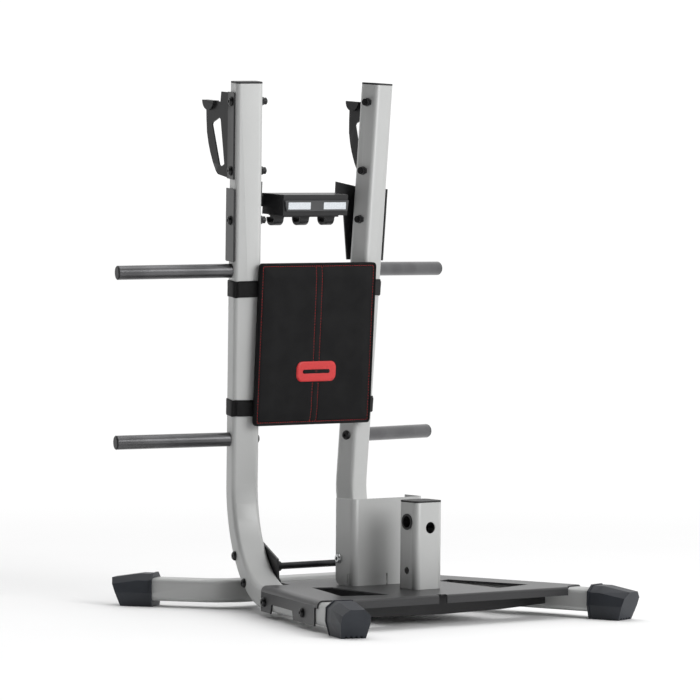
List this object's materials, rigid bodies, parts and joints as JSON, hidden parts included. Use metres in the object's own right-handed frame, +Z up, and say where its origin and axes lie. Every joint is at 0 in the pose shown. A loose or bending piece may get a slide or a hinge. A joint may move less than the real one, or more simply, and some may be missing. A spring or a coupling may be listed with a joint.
{
  "type": "gym attachment storage rack",
  "caption": "Floor-standing rack with two bent tube frames, side pegs, hanging fingers, hook brackets, padded back and a base tray with a receiver post.",
  "frame": {"origin": "on the floor under the middle of the rack's bounding box", "axes": "+Z up, -Y towards the open front of the legs, +X towards the right-hand frame seen from the front"},
  "size_m": [0.7288, 0.7473, 0.9358],
  "materials": {
    "silver_paint": "satin metallic silver powder coat",
    "black_paint": "satin black powder coat",
    "foot_plastic": "fine matt charcoal",
    "cap_plastic": "matt black",
    "peg_steel": "dark gunmetal",
    "rod_steel": "satin black",
    "fastener_steel": "black oxide",
    "bright_steel": "zinc-plated",
    "pad_vinyl": "grained black vinyl",
    "strap_webbing": "black woven webbing",
    "trim_plastic": "dark satin",
    "inset_metal": "bright satin"
  },
  "bodies": {
    "root": {"upright_left": "silver_paint", "upright_right": "silver_paint", "top_cap_left": "cap_plastic", "top_cap_right": "cap_plastic", "stabiliser": "silver_paint", "foot_front_left": "foot_plastic", "foot_front_right": "foot_plastic", "foot_rear_left": "foot_plastic", "foot_rear_right": "foot_plastic", "gusset_left": "black_paint", "gusset_right": "black_paint", "tie_rod": "rod_steel", "base_tray": "black_paint", "front_rail": "black_paint", "cradle": "silver_paint", "post": "silver_paint", "post_cap": "cap_plastic", "post_bush": "cap_plastic", "peg_upper_left": "peg_steel", "peg_upper_right": "peg_steel", "peg_lower_left": "peg_steel", "peg_lower_right": "peg_steel", "peg_cap_upper_left": "cap_plastic", "peg_cap_upper_right": "cap_plastic", "peg_cap_lower_left": "cap_plastic", "peg_cap_lower_right": "cap_plastic", "hook_left": "black_paint", "hook_right": "black_paint", "mid_bracket": "black_paint", "trim_plate": "trim_plastic", "trim_insets": "inset_metal", "pad": "pad_vinyl", "strap_upper_left": "strap_webbing", "strap_upper_right": "strap_webbing", "strap_lower_left": "strap_webbing", "strap_lower_right": "strap_webbing", "hook_bolts_left": "fastener_steel", "hook_bolts_right": "fastener_steel", "mid_bolt_left": "fastener_steel", "mid_bolt_right": "fastener_steel", "peg_bolts_left": "fastener_steel", "peg_bolts_right": "fastener_steel", "bend_bolts_left": "fastener_steel", "bend_bolts_right": "fastener_steel", "tray_bolts_left": "fastener_steel", "tray_bolts_right": "fastener_steel", "cradle_bolts": "bright_steel"}
  },
  "joints": []
}
